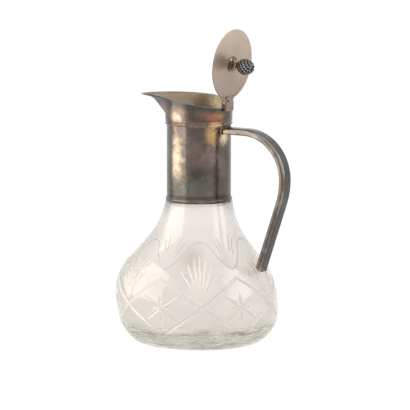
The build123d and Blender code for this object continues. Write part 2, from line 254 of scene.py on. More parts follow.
def surface(tree, shader, sheenPattern, roughness, heights, depth):
    # roughness between two values by a pattern, and bump this many millimetres deep
    sheen = addNode(tree, "ShaderNodeMapRange",
        {"Value": sheenPattern, **mottleRange, "To Min": roughness[0], "To Max": roughness[1]})
    join(tree, sheen, shader.inputs["Roughness"])
    bump = addNode(tree, "ShaderNodeBump", {"Height": heights, "Strength": 1.0,
        "Distance": depth * mm})
    join(tree, bump, shader.inputs["Normal"])


def sidewaysFacing(tree, coords):
    # how far a face is turned to the jug's two sides, 0 to 1
    turned = addNode(tree, "ShaderNodeSeparateXYZ", {0: coords.outputs["Normal"]})
    return addNode(tree, "ShaderNodeMath", {0: turned.outputs["Y"]}, operation="ABSOLUTE")


glassBody = {"colour": "#FCF8F6", "ior": 1.52, "thickTint": "#C6CFB4", "density": 7.0,
    "greying": "#A9A6A6", "shadow": "#ECE8E4", "streakSize": 10, "streakFlat": 0.2, "streakTop": 19,
    "streakFade": 5, "streakHeight": 2.0, "threadSize": 32, "threadFlat": 0.13, "thread": "#5F6A58",
    "threadShare": 0.65, "threadFrom": 0.51, "threadFull": 0.62}
# how rough each part of the glass is left, how grey it is made, and how milky it is
glassFinishes = {
    "polished": (0.04, 0.0, 0.0),       # fire-polished: clear and bright
    "frosted": (0.25, 0.0, 0.5),        # straight from the stone wheel: pale and soft
    "engraved": (0.12, 0.6, 0.0),       # thin lines, grey: dust in them, and painted shade for the dark their refraction gives
    "hazed": (0.3, 0.05, 0.0),          # wine haze on the inside, blurs the far side
    "greyest": (0.3, 0.22, 0.0),        # and greyer lower down
    "half grey": (0.2, 0.15, 0.0),     # fading to nothing over the floor
    "film": (0.1, 0.08, 0.0),
}


def crystal():
    # blown crystal, cut by wheel: clear, faintly rosy, grey-green where thick; lamps shine through
    material, tree, shader, output = startMaterial("cut crystal", IOR=glassBody["ior"],
        Transmission_Weight=1.0)
    finish = addNode(tree, "ShaderNodeAttribute", attribute_name="finish")
    parts = addNode(tree, "ShaderNodeSeparateXYZ", {0: finish.outputs["Vector"]})
    tree.links.new(parts.outputs[0], shader.inputs["Roughness"])
    clear = addNode(tree, "ShaderNodeMath", {0: 1.0, 1: parts.outputs[2]}, operation="SUBTRACT")
    join(tree, clear, shader.inputs["Transmission Weight"])
    skin = addNode(tree, "ShaderNodeMix", {0: parts.outputs[1], 6: glassBody["colour"],
        7: glassBody["greying"]}, data_type="RGBA")
    # the thick bottom is wavy, in long level streaks with dark threads among them
    place = patternPlace(tree)
    streaks = mottle(tree, place, glassBody["streakSize"], 2.0, (1, 1, glassBody["streakFlat"]))
    split = addNode(tree, "ShaderNodeSeparateXYZ", {0: place})
    threads = mottle(tree, place, glassBody["threadSize"], 3.0, (1, 1, glassBody["threadFlat"]))
    marked = addNode(tree, "ShaderNodeMapRange",
        {"Value": threads, "From Min": glassBody["threadFrom"], "From Max": glassBody["threadFull"],
        "To Max": glassBody["threadShare"]})
    top, fade = glassBody["streakTop"], glassBody["streakFade"]
    bottom = {"Value": split.outputs["Z"], "From Min": top, "From Max": top + fade}
    deep = addNode(tree, "ShaderNodeMapRange", {**bottom, **falling})
    share = addNode(tree, "ShaderNodeMath", {0: marked, 1: deep}, operation="MULTIPLY")
    skin = addNode(tree, "ShaderNodeMix", {0: share, 6: skin, 7: glassBody["thread"]},
        data_type="RGBA")
    join(tree, skin, shader.inputs["Base Color"])
    low = addNode(tree, "ShaderNodeMapRange",
        {**bottom, "To Min": glassBody["streakHeight"] * mm, "To Max": 0.0})
    waves = addNode(tree, "ShaderNodeMath", {0: streaks, 1: low}, operation="MULTIPLY")
    bump = addNode(tree, "ShaderNodeBump", {"Height": waves, "Strength": 1.0, "Distance": 1.0})
    join(tree, bump, shader.inputs["Normal"])
    path = addNode(tree, "ShaderNodeLightPath")
    lit = addNode(tree, "ShaderNodeBsdfTransparent", {"Color": glassBody["shadow"]})
    mix = addNode(tree, "ShaderNodeMixShader",
        {0: path.outputs["Is Shadow Ray"], 1: shader, 2: lit})
    join(tree, mix, output.inputs["Surface"])
    tint = addNode(tree, "ShaderNodeVolumeAbsorption",
        {"Color": glassBody["thickTint"], "Density": glassBody["density"]})
    join(tree, tint, output.inputs["Volume"])
    return material


plateLooks = {
    # silver plate gone brown-grey, with mauve and straw bloom, the straw partly painted highlight;
    # painted highlights and painted shade stand among its stains; small dents soften its
    # reflections
    "tarnished collar plate": {
        "clouds": [(0.3, "#453F3C"), (0.45, "#5B534D"), (0.58, "#695F5B"), (0.72, "#7D736A")],
        "cloudSize": 19, "streak": 0.35, "roughness": (0.15, 0.31),
        "dentSize": 3.4, "dentHeight": 0.2, "grain": 0.35,
        "stainsAndLightSpots": [
            # painted highlight: the cream streak of the left lamp's reflection
            ((-6.4, -29.3, 176), 7, 3.4, "#B3A18B", 0.85),
            # painted shade: keeps the left lamp's reflection off the sleeve's lower left
            ((-6, -29.4, 147), 14, 0.9, "#3F4543", 0.95),
            # the next two: straw toning beside the handle's root, partly a painted warm highlight
            # where the right lamp is reflected; the second, near white, is mostly painted highlight
            ((25.2, -16.3, 200), 6.5, 1.9, "#C99F68", 0.9),
            ((29.9, -2.3, 197), 6.5, 1.1, "#F3DBB4", 0.95),
            # painted reflection: the dark room behind the camera, where the sleeve faces it
            ((16.3, -25.2, 164.5), 10, 0.7, "#2F2F33", 0.85),
            ((12, -27.7, 147), 13, 0.7, "#565E5C", 0.75),
            ((14, -26.5, 183), 8, 1.8, "#745B51", 0.6),
            ((25.5, -15.7, 177), 11, 0.8, "#857378", 0.7),
            ((29.7, -4.5, 170), 8, 1.6, "#7D6E6E", 0.6), ((29, -8, 206), 6, 0.8, "#8E5C48", 0.5),
            ((29.5, 5, 165), 7, 4, "#3A3532", 0.6)],
        "gilt": ("#C7B28A", "#A58B64")},
    "tarnished lip plate": {
        "clouds": [(0.3, "#453D39"), (0.46, "#5A4D46"), (0.58, "#6F5E59"), (0.72, "#7D7065")],
        "cloudSize": 14, "streak": 0.2, "roughness": (0.18, 0.34),
        "dentSize": 3.6, "dentHeight": 0.16, "grain": 0.3,
        "stainsAndLightSpots": [((26, -17, 216), 10, 0.6, "#A4674A", 0.85),
                   ((29, -9, 219), 7, 1.0, "#B08050", 0.7),
                   # painted highlight: the left lamp's reflection on the lip
                   ((-6, -30, 215), 7, 0.9, "#B5A394", 0.7)],
        # the rim colour and share: painted shade under the rim; the last value: how strong the
        # painted highlight inside the mouth is
        "gilt": ("#BBAA92", "#98846E"), "paintedRimShade": ("#3B4240", 0.85), "paintedGleam": 1.0},
    # the beaded rings: the same plate, rubbed brighter because it stands out
    "rubbed ring plate": {
        "clouds": [(0.3, "#4F463F"), (0.45, "#665A51"), (0.58, "#7A6C60"), (0.72, "#988878")],
        "cloudSize": 9, "streak": 0.1, "roughness": (0.12, 0.22),
        "dentSize": 3.0, "dentHeight": 0.02, "grain": 0.2,
        # straw toning by the handle's root, partly a painted warm highlight where the right lamp is
        # reflected
        "stainsAndLightSpots": [((26, -14, 209), 8, 1.0, "#C9A478", 0.8)]},
    "tarnished handle plate": {
        "clouds": [(0.3, "#403C38"), (0.45, "#5A5550"), (0.58, "#6C6864"), (0.72, "#8A847C")],
        "cloudSize": 10, "streak": 0.3, "roughness": (0.17, 0.3),
        "dentSize": 3.4, "dentHeight": 0.04, "grain": 0.25,
        "stainsAndLightSpots": [((96, -6, 158), 7, 1.5, "#54403A", 0.7),
                   ((85, -3, 110), 14, 2.8, "#33312F", 0.6),
                   # the second stain on the next line, dark at the handle's lower end beside the
                   # glass, is painted shade
                   ((88, -6, 118), 6, 1.5, "#54403A", 0.6), ((76, -6, 86), 7, 1.5, "#46342F", 0.6),
                   # warm toning at the handle's root, partly a painted warm highlight
                   ((36, 0, 203), 7, 1.0, "#A98A62", 0.6)],
        # painted light and shade by facing: the faces turned in and out are darkened, painted
        # shade; the rounded edges between are lightened, partly rubbed wear and partly painted
        # highlight
        "edges": [("#454847", [(0.3, "#D0D0D0"), (0.45, "#000000")]),
                  ("#B3A698", [(0.35, "#000000"), (0.55, "#D0D0D0"), (0.8, "#D0D0D0"),
                               (0.94, "#000000")])]},
}
# the rim's height, and how far below it the painted shade under the rim reaches
rimLine = {"height": 230.0, "slope": 0.14, "curve": 0.0019, "reach": 6.5}
wanderReach = 1.8                   # how far the edge of each stain, painted highlight and painted shade wanders, in its radii
spotFade = (1.0, 2.3)              # and between which it fades
wallFacing = (-12, -2)              # faces turned this much towards the jug's axis are inside walls
insideMetallic = 0.4                # the gilding inside is thin and dull
wipeMarks = {"size": 3.0, "stretch": (1, 1, 14)}
speckSize = 0.9                     # coarser than real, so that it shows
# a painted highlight on the gilt inside of the mouth, beside the hinge
paintedGleamSpot = {"centre": (0, 28.5, 222), "radius": 9, "colour": "#FFF0CE"}


def spotOver(tree, place, wander, colour, centre, radius, tall, code, strength):
    # a patch over a colour, used for stains, painted highlights and painted shade: full at its
    # middle, none past its wandering edge
    away = addNode(tree, "ShaderNodeVectorMath", {0: place, 1: centre}, operation="SUBTRACT")
    away = addNode(tree, "ShaderNodeVectorMath", {0: away, 1: (1, 1, 1 / tall)},
        operation="MULTIPLY")
    far = addNode(tree, "ShaderNodeVectorMath", {0: away}, operation="LENGTH")
    edge = addNode(tree, "ShaderNodeMath", {0: wander, 1: radius * wanderReach,
        2: far.outputs["Value"]}, operation="MULTIPLY_ADD")
    mask = addNode(tree, "ShaderNodeMapRange",
        {"Value": edge, "From Min": radius * spotFade[0], "From Max": radius * spotFade[1],
        "To Min": strength, "To Max": 0.0}, interpolation_type="SMOOTHSTEP")
    return addNode(tree, "ShaderNodeMix", {0: mask, 6: colour, 7: code}, data_type="RGBA")


def tarnishedPlate(name, clouds, cloudSize, streak, roughness, dentSize, dentHeight, grain, stainsAndLightSpots,
        gilt=("#605A52", "#4A4642"), paintedRimShade=("#453F3C", 0.0), paintedGleam=0.0, edges=()):
    material, tree, shader, _ = startMaterial(name, Metallic=1.0)
    place = patternPlace(tree)
    wide = mottle(tree, place, cloudSize, 4.0)
    colour = setStops(addNode(tree, "ShaderNodeValToRGB", {0: wide}), clouds)
    wiped = mottle(tree, place, wipeMarks["size"], 3.0, wipeMarks["stretch"])      # up and down
    wipedShare = addNode(tree, "ShaderNodeMapRange",
        {"Value": wiped, **mottleRange, "To Max": streak})
    colour = addNode(tree, "ShaderNodeMix", {0: wipedShare, 6: colour, 7: clouds[0][1]},
        data_type="RGBA")
    coords = addNode(tree, "ShaderNodeTexCoord")
    sideways = sidewaysFacing(tree, coords)
    # painted light and shade, laid on by how far each face turns sideways
    for code, shares in edges:
        facingLightShare = setStops(addNode(tree, "ShaderNodeValToRGB", {0: sideways}), shares)
        colour = addNode(tree, "ShaderNodeMix", {0: facingLightShare, 6: colour, 7: code}, data_type="RGBA")
    wander = mottle(tree, place, wanderSize)
    # the list holds stains, painted highlights and painted shade, each marked where it is listed
    for stain in stainsAndLightSpots:
        colour = spotOver(tree, place, wander, colour, *stain)
    # painted shade under the rim, which falls along x
    split = addNode(tree, "ShaderNodeSeparateXYZ", {0: place})
    bend = addNode(tree, "ShaderNodeMath", {0: split.outputs["X"], 1: rimLine["curve"],
        2: rimLine["slope"]}, operation="MULTIPLY_ADD")
    level = addNode(tree, "ShaderNodeMath", {0: split.outputs["X"], 1: bend, 2: split.outputs["Z"]},
        operation="MULTIPLY_ADD")
    under = addNode(tree, "ShaderNodeMath", {0: wander, 1: -rimLine["reach"] / 2, 2: level},
        operation="MULTIPLY_ADD")
    rimShadeShare = addNode(tree, "ShaderNodeMapRange",
        {"Value": under, "From Min": rimLine["height"] - rimLine["reach"] * 1.5,
        "From Max": rimLine["height"] - rimLine["reach"] * 0.5, "To Max": paintedRimShade[1]},
        interpolation_type="SMOOTHSTEP")
    colour = addNode(tree, "ShaderNodeMix", {0: rimShadeShare, 6: colour, 7: paintedRimShade[0]}, data_type="RGBA")
    speck = mottle(tree, place, speckSize, 2.0)
    speckShare = addNode(tree, "ShaderNodeMapRange",
        {"Value": speck, **mottleRange, "To Max": grain})
    colour = addNode(tree, "ShaderNodeMix", {0: speckShare, 6: colour, 7: clouds[-1][1]},
        data_type="RGBA")
    # the inner wall is gilt and softer, told from the outer one by which way it faces
    flat = addNode(tree, "ShaderNodeVectorMath", {0: place, 1: (1, 1, 0)}, operation="MULTIPLY")
    faces = addNode(tree, "ShaderNodeVectorMath", {0: flat, 1: coords.outputs["Normal"]},
        operation="DOT_PRODUCT")
    inward = addNode(tree, "ShaderNodeMapRange",
        {"Value": faces.outputs["Value"], "From Min": wallFacing[0], "From Max": wallFacing[1],
        **falling})
    gold = addNode(tree, "ShaderNodeMix", {0: wide, 6: gilt[0], 7: gilt[1]}, data_type="RGBA")
    # painted highlight on the gilt inside
    gold = spotOver(tree, place, wander, gold, paintedGleamSpot["centre"], paintedGleamSpot["radius"], 1.0,
        paintedGleamSpot["colour"], paintedGleam)
    colour = addNode(tree, "ShaderNodeMix", {0: inward, 6: colour, 7: gold}, data_type="RGBA")
    join(tree, colour, shader.inputs["Base Color"])
    bare = addNode(tree, "ShaderNodeMapRange",
        {"Value": inward, "To Min": 1.0, "To Max": insideMetallic})
    join(tree, bare, shader.inputs["Metallic"])
    surface(tree, shader, wander, roughness, mottle(tree, place, dentSize, 2.0), dentHeight)
    return material


# the lid's colours; the top and low colours paint the lid lighter towards its top, as painted light
# and shade, and the edge colour serves both the hinge's tarnish specks and the painted shade on
# faces turned sideways
satin = {"clouds": [(0.3, "#A79484"), (0.5, "#B8A594"), (0.7, "#C4B3A0")], "cloudSize": 16,
    "top": "#DCC9B0", "low": "#9A877C", "lowAt": 236, "topAt": 296, "roughness": (0.26, 0.36),
    "lineSize": 0.8, "lineLength": 18, "lineHeight": 0.012, "paintedLightShare": 0.65, "wornFrom": 0.8,
    "wornFull": 1.25, "wornShare": 0.3, "edge": "#5A4A40", "sideShadeShare": 0.95, "speckSize": 1.1,
    "speckShare": 0.5, "hingeFade": (-2, 3), "sideways": (0.6, 0.9)}


def satinPlate():
    # the lid: silver plate scratch-brushed to a warm, even satin
    material, tree, shader, _ = startMaterial("scratch-brushed plate", Metallic=0.55)
    place = patternPlace(tree)
    colour = setStops(addNode(tree, "ShaderNodeValToRGB",
        {0: mottle(tree, place, satin["cloudSize"], 4.0)}), satin["clouds"])
    split = addNode(tree, "ShaderNodeSeparateXYZ", {0: place})
    # painted light and shade: the lid lighter towards its top and darker at its foot
    rise = addNode(tree, "ShaderNodeMapRange",
        {"Value": split.outputs["Z"], "From Min": satin["lowAt"], "From Max": satin["topAt"]})
    shade = addNode(tree, "ShaderNodeMix", {0: rise, 6: satin["low"], 7: satin["top"]},
        data_type="RGBA")
    colour = addNode(tree, "ShaderNodeMix", {0: satin["paintedLightShare"], 6: colour, 7: shade},
        data_type="RGBA")
    upright = mottle(tree, place, satin["lineSize"], 2.0, (1, 1, satin["lineLength"]))
    across = mottle(tree, place, satin["lineSize"], 2.0, (1, satin["lineLength"], 1))
    lines = addNode(tree, "ShaderNodeMath", {0: upright, 1: across}, operation="ADD")
    worn = addNode(tree, "ShaderNodeMapRange",
        {"Value": lines, "From Min": satin["wornFrom"], "From Max": satin["wornFull"],
        "To Max": satin["wornShare"]})
    colour = addNode(tree, "ShaderNodeMix", {0: worn, 6: colour, 7: satin["low"]}, data_type="RGBA")
    # the hinge, at the foot of the lid, is speckled with tarnish
    specks = addNode(tree, "ShaderNodeMapRange",
        {"Value": mottle(tree, place, satin["speckSize"], 2.0), **mottleRange,
        "To Max": satin["speckShare"]})
    start, end = satin["hingeFade"]
    low = addNode(tree, "ShaderNodeMapRange", {"Value": split.outputs["Z"],
        "From Min": satin["lowAt"] + start, "From Max": satin["lowAt"] + end, **falling})
    tarnish = addNode(tree, "ShaderNodeMath", {0: specks, 1: low}, operation="MULTIPLY")
    colour = addNode(tree, "ShaderNodeMix", {0: tarnish, 6: colour, 7: satin["edge"]},
        data_type="RGBA")
    # the faces turned sideways, at the hinge and along the edges, are darkened: painted shade
    sideways = sidewaysFacing(tree, addNode(tree, "ShaderNodeTexCoord"))
    dark = addNode(tree, "ShaderNodeMapRange",
        {"Value": sideways, "From Min": satin["sideways"][0], "From Max": satin["sideways"][1],
        "To Max": satin["sideShadeShare"]})
    colour = addNode(tree, "ShaderNodeMix", {0: dark, 6: colour, 7: satin["edge"]},
        data_type="RGBA")
    join(tree, colour, shader.inputs["Base Color"])
    surface(tree, shader, upright, satin["roughness"], lines, satin["lineHeight"])
    return material


smallLooks = {
    # the finial's turned base: plate worn through to brass, mottled from dark to light
    "worn brass": {"metal": 1.0, "size": 3.0,
        "stops": [(0.3, "#4E4238"), (0.5, "#877564"), (0.7, "#AE9C86")],
        "roughness": (0.2, 0.36), "pitSize": 1.2, "pitDepth": 0.01},
    # pin, stud and nut: grey, with fine brown spots
    "drawn steel": {"metal": 1.0, "size": 1.5,
        "stops": [(0.32, "#5B4B40"), (0.45, "#8D8A86"), (0.7, "#A8A6A2")],
        "roughness": (0.28, 0.42), "pitSize": 0.8, "pitDepth": 0.01},
    # behind the sleeve: matt, off-white, faintly pitted
    "setting plaster": {"metal": 0.0, "size": 5.0, "stops": [(0.3, "#B9B0A1"), (0.7, "#D8D1C4")],
        "roughness": (0.85, 0.95), "pitSize": 1.0, "pitDepth": 0.08},
    # the bud: cast and blackened, with the raised edges rubbed bright
    "oxidised casting": {"metal": 1.0, "size": 1.6, "stops": [(0.35, "#2A2828"), (0.6, "#4C4948")],
        "roughness": (0.22, 0.4), "pitSize": 0.7, "pitDepth": 0.02,
        "rubbed": "#A3A09C"},
}


def smallFinish(name, metal, size, stops, roughness, pitSize, pitDepth, rubbed=None):
    material, tree, shader, _ = startMaterial(name, Metallic=metal)
    place = patternPlace(tree)
    colour = setStops(addNode(tree, "ShaderNodeValToRGB", {0: mottle(tree, place, size, 4.0)}),
        stops)
    if rubbed:
        worn = addNode(tree, "ShaderNodeAttribute", attribute_name="rubbed")
        share = addNode(tree, "ShaderNodeMapRange",
            {"Value": worn.outputs["Fac"], "From Min": 0.5, "From Max": 0.95})
        colour = addNode(tree, "ShaderNodeMix", {0: share, 6: colour, 7: rubbed}, data_type="RGBA")
    join(tree, colour, shader.inputs["Base Color"])
    pits = mottle(tree, place, pitSize)
    surface(tree, shader, pits, roughness, pits, pitDepth)
    return material


glassMaterial, satinLid = crystal(), satinPlate()
collarPlate, lipPlate, ringPlate, handlePlate = [
    tarnishedPlate(name, **look) for name, look in plateLooks.items()]
brass, steel, plaster, oxidised = [smallFinish(name, **look) for name, look in smallLooks.items()]

nodeFinishes = {
    "collar_sleeve": collarPlate, "collar_foot_wire": collarPlate, "reeded_band": ringPlate,
    "pouring_lip": lipPlate, "hinge_collar_leaf": satinLid, "hinge_lid_leaf": satinLid,
    "lid_plate": satinLid,
    "handle_channel": handlePlate, "handle_strip": handlePlate, "handle_end_cap": handlePlate,
    "handle_root_plate": collarPlate, "finial_base": brass, "finial_stud": steel,
    "finial_nut": steel, "hinge_pin": steel, "neck_plaster": plaster,
}
for nodeName, finish in nodeFinishes.items():
    for holder in frame["nodes"][nodeName].material_slots:
        holder.material = finish
print("finishes made")


# the glass body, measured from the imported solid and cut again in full

glass = {
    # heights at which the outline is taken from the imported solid
    "outsideHeights": [3.06, 8.5, 20.2, 31.95, 42, 55.8, 67.3, 77.9, 88, 99.75, 111.5, 123.25],
    "insideHeights": [20.2, 31.95, 42, 55.8, 67.3, 77.9, 88, 99.75, 111.5, 123.25],
    "footRadius": 45, "ledgeRadius": 31.2, "ledgeHeight": 135, "neckRadius": 27.6,
    "boreRadius": 24.2, "neckTop": 203.5, "neckRound": 1.2, "floorHeight": 12,
    "floorCurve": [(0.25, 0.0), (0.5, 0.0), (0.7, 0.5), (0.87, 2.4)],      # share of width, rise
    "folds": 6, "firstAngle": -53.5, "ringSteps": 96,
    "fitRounds": 8, "fitSlack": 0.04,
    "spacing": 2.4, "cutStep": 1.5, "cutSlope": 0.58,
    # up to which height the inside has each finish: the wine's haze starts over the thick bottom
    "hazeSteps": [(14, "polished"), (19, "film"), (25, "half grey"), (74, "greyest"),
                  (204, "hazed")],
    "recessRadius": 39, "recessDepth": 0.7, "recessSoft": 2.5,
    "castFrom": 300,                # rays that measure the outside start this far out
    "pointRoom": 0.45, "rowShare": 0.87,        # free points keep off the lines; rows of triangles
    "cutTaper": 0.55, "insideStep": 2.2, "sideRows": 6, "roundRows": 8,
    "mergeWithin": 0.004, "sharpFrom": radians(17),
}


def throughPoints(points, count):
    # natural cubic curve through points of any dimension, sampled evenly along its chords
    points = np.array(points, float)
    knots = np.concatenate([[0], np.cumsum(np.linalg.norm(np.diff(points, axis=0), axis=1))])
    gaps = np.diff(knots)
    size = len(points)
    matrix = np.eye(size)
    side = np.zeros_like(points)
    for i in range(1, size - 1):
        matrix[i, i - 1:i + 2] = gaps[i - 1], 2 * (gaps[i - 1] + gaps[i]), gaps[i]
        side[i] = 6 * ((points[i + 1] - points[i]) / gaps[i]
            - (points[i] - points[i - 1]) / gaps[i - 1])
    bend = np.linalg.solve(matrix, side)
    curve = []
    for place in np.linspace(0, knots[-1], count):
        i = min(max(int(np.searchsorted(knots, place)) - 1, 0), size - 2)
        a, b, gap = knots[i + 1] - place, place - knots[i], gaps[i]
        curve.append((bend[i] * a ** 3 + bend[i + 1] * b ** 3) / (6 * gap)
            + (points[i] / gap - bend[i] * gap / 6) * a
            + (points[i + 1] / gap - bend[i + 1] * gap / 6) * b)
    return np.array(curve)


def glassRing(tree, height, inside):
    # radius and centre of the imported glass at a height, by a circle through the hits off its cuts
    hits = []
    for k in range(glass["ringSteps"]):
        out = Vector((cos(2 * pi * k / glass["ringSteps"]), sin(2 * pi * k / glass["ringSteps"]),
            0))
        start = Vector((0, 0, height * mm)) + out * (0 if inside else glass["castFrom"] * mm)
        hits.append(tree.ray_cast(start, out if inside else -out)[0] / mm)
    for _ in range(glass["fitRounds"]):
        x, y = np.array([hit.x for hit in hits]), np.array([hit.y for hit in hits])
        (twice, rest), _, _, _ = np.linalg.lstsq(np.stack([x, np.ones_like(x)], axis=1), x ** 2
            + y ** 2, rcond=None)
        centre = twice / 2
        radius = sqrt(rest + centre ** 2)
        hits = [hit for hit in hits if hypot(hit.x - centre, hit.y) > radius - glass["fitSlack"]]
    return radius, height, centre


def hazeAt(height):
    return next(kind for top, kind in glass["hazeSteps"] if height < top)


class Outline:
    # the glass wall's outline by distance along it, as radius, height and centre
    def __init__(self, points, samples=600):
        self.curve = throughPoints(points, samples)
        steps = np.linalg.norm(np.diff(self.curve[:, :2], axis=0), axis=1)
        self.along = np.concatenate([[0], np.cumsum(steps)])
        self.length = self.along[-1]

    def at(self, distance):
        return np.array([np.interp(distance, self.along, self.curve[:, k]) for k in range(3)])

    def outward(self, distance):
        ahead, behind = self.at(distance + 0.5), self.at(distance - 0.5)
        step = Vector((ahead[0] - behind[0], ahead[1] - behind[1])).normalized()
        return step.y, -step.x


def measureGlass():
    source = frame["nodes"]["glass_body"]
    mesh = source.data
    tree = BVHTree.FromPolygons([v.co for v in mesh.vertices], [p.vertices for p in mesh.polygons])
    outside = [(glass["footRadius"], 0, 0)]
    outside += [glassRing(tree, height, False) for height in glass["outsideHeights"]]
    outside.append((glass["ledgeRadius"], glass["ledgeHeight"], 0))
    inside = [glassRing(tree, height, True) for height in glass["insideHeights"]]
    wide = inside[0][0]
    floor = [(0, glass["floorHeight"], 0)]
    floor += [(wide * share, glass["floorHeight"] + rise, 0) for share, rise in glass["floorCurve"]]
    inside = floor + inside + [(glass["boreRadius"], glass["ledgeHeight"], 0)]
    return Outline(outside), Outline(inside)


# six mirrored repeats go round the belly, so the pattern is drawn once over half a repeat:
# angle from the middle of the crossing, and distance up the outline

mmPerDegree = 1.316                 # at the widest part of the belly

pattern = {
    "crossing": 59.5, "lowApex": 33, "highApex": 87, "apexAngle": 30,
    "diagonalWidth": 3.2, "overrun": 5,
    "fanStart": 5, "fanWidth": 3.3,
    "fanTips": [(0, 54), (5.5, 50), (10.5, 44), (15.5, 36)],
    "starHeight": 59, "starWidth": 3.0,
    "starRays": [(145, 22), (215, 21), (90, 14), (270, 13), (180, 10)],       # direction and length
    "archWidth": 1.3,
    "arch": [(-9, 124), (0, 126.5), (9, 123.5), (15, 115.5), (21, 106), (26, 99), (30, 96.5),
             (34, 99)],
    "leafWidth": 1.5,
    "leaves": [[(25.5, 114), (23.4, 125), (19.1, 135)], [(23.5, 111), (20.4, 121), (14.5, 130)]],
}


def flatPoint(angle, distance):
    return Vector((angle * mmPerDegree, distance))


def stretch(path, step):
    # the path with points about one step apart, each with its share of the way
    lengths = [(b - a).length for a, b in zip(path, path[1:])]
    total, done, places = sum(lengths), 0, []
    for a, b, length in zip(path, path[1:], lengths):
        count = max(1, ceil(length / step))
        places += [(a.lerp(b, k / count), (done + length * k / count) / total)
            for k in range(count)]
        done += length
    return places + [(path[-1], 1.0)]


def makeCut(path, width, tapered, step, finish):
    # a wheel cut: its middle line, its half width at each point, and its finish
    places = stretch(path, step)
    half = [width / 2 * (sin(pi * share) ** glass["cutTaper"] if tapered else 1)
        for _, share in places]
    return [point for point, _ in places], half, finish


def curved(points, step):
    spread = [flatPoint(*point) for point in points]
    length = sum((b - a).length for a, b in zip(spread, spread[1:]))
    return [Vector(point) for point in throughPoints(spread, ceil(length / step) + 1)]


def wallCuts():
    step = glass["cutStep"]
    side, middle = pattern["apexAngle"], pattern["crossing"]
    cuts = []
    for apex in (pattern["lowApex"], pattern["highApex"]):
        # one leg of the crossing, run on past both ends so that its mirror images meet it
        slope = (apex - middle) / side
        extra = pattern["overrun"]
        leg = [flatPoint(-extra, middle - slope * extra),
            flatPoint(side + extra, apex + slope * extra)]
        cuts.append(makeCut(leg, pattern["diagonalWidth"], False, step, "frosted"))
    root = flatPoint(0, middle + pattern["fanStart"])
    for angle, reach in pattern["fanTips"]:
        for mirror in ((1, -1) if angle else (1,)):
            tip = flatPoint(angle * mirror, middle + reach)
            cuts.append(makeCut([root, tip], pattern["fanWidth"], True, step, "frosted"))
    centre = flatPoint(side, pattern["starHeight"])
    for turn, reach in pattern["starRays"]:
        for way in {turn, 180 - turn}:
            ray = Vector((cos(radians(way)), sin(radians(way)))) * reach
            cuts.append(makeCut([centre, centre + ray], pattern["starWidth"], True, step,
                "frosted"))
    cuts.append(makeCut(curved(pattern["arch"], step), pattern["archWidth"], False, step,
        "engraved"))
    for leaf in pattern["leaves"]:
        cuts.append(makeCut(curved(leaf, step), pattern["leafWidth"], True, step, "engraved"))
    return cuts


def cutDepth(point, cuts):
    # how deep the deepest cut is here, and its finish: every wheel leaves the same V
    depth, finish = 0.0, "polished"
    for path, half, kind in cuts:
        for k in range(len(path) - 1):
            a, b = path[k], path[k + 1]
            run = b - a
            share = min(max((point - a).dot(run) / run.length_squared, 0), 1)
            width = half[k] + (half[k + 1] - half[k]) * share
            here = width - (a + run * share - point).length
            if here > depth:
                depth, finish = here, kind
    return depth * glass["cutSlope"], finish


def cutLines(path, half):
    # the middle and both edges of a cut, as lines for the mesh to follow
    left, right = [], []
    for k, point in enumerate(path):
        run = path[min(k + 1, len(path) - 1)] - path[max(k - 1, 0)]
        across = Vector((-run.y, run.x)).normalized() * half[k]
        left.append(point + across)
        right.append(point - across)
    return [path, left, right]


def cutSheet(border, cuts, spacing):
    # triangles that follow every cut; each corner has a depth, each triangle a finish
    points, edges = list(border), [(k, (k + 1) % len(border)) for k in range(len(border))]
    for path, half, _ in cuts:
        for line in cutLines(path, half):
            first = len(points)
            points += line
            edges += [(first + k, first + k + 1) for k in range(len(line) - 1)]
    low = Vector((min(p.x for p in border), min(p.y for p in border)))
    high = Vector((max(p.x for p in border), max(p.y for p in border)))
    lines = np.array([tuple(point) for point in points])
    row, y = 0, low.y + spacing / 2
    while y < high.y:
        x = low.x + spacing * (0.5 if row % 2 else 1.0)
        while x < high.x:
            nearest = np.min(np.hypot(lines[:, 0] - x, lines[:, 1] - y))
            if nearest > spacing * glass["pointRoom"]:
                points.append(Vector((x, y)))
            x += spacing
        y += spacing * glass["rowShare"]
        row += 1
    corners, _, faces, _, _, _ = delaunay_2d_cdt(points, edges, [], 0, 1e-4)
    kept = [face for face in faces if insideBorder(sum((corners[k] for k in face),
        Vector((0, 0))) / 3, border)]
    used = sorted({k for face in kept for k in face})
    number = {k: n for n, k in enumerate(used)}
    flat = [corners[k] for k in used]
    depths = [cutDepth(point, cuts)[0] for point in flat]
    finishes = [cutDepth(sum((corners[k] for k in face), Vector((0, 0))) / 3, cuts)[1]
        for face in kept]
    return flat, depths, [[number[k] for k in face] for face in kept], finishes


def insideBorder(point, border):
    inside = False
    for a, b in zip(border, border[1:] + border[:1]):
        if (a.y > point.y) != (b.y > point.y) and point.x < a.x + (point.y - a.y) * (b.x
                - a.x) / (b.y - a.y):
            inside = not inside
    return inside


def wallBorder(length):
    side = pattern["apexAngle"]
    steps = glass["ringSteps"] // (2 * glass["folds"])
    rows = ceil(length / glass["spacing"])
    border = [flatPoint(side * k / steps, 0) for k in range(steps)]
    border += [flatPoint(side, length * k / rows) for k in range(rows)]
    border += [flatPoint(side * (1 - k / steps), length) for k in range(steps)]
    border += [flatPoint(0, length * (1 - k / rows)) for k in range(rows)]
    return border


star = {"rays": 24, "reach": 36, "width": 4.2, "start": 0.4}


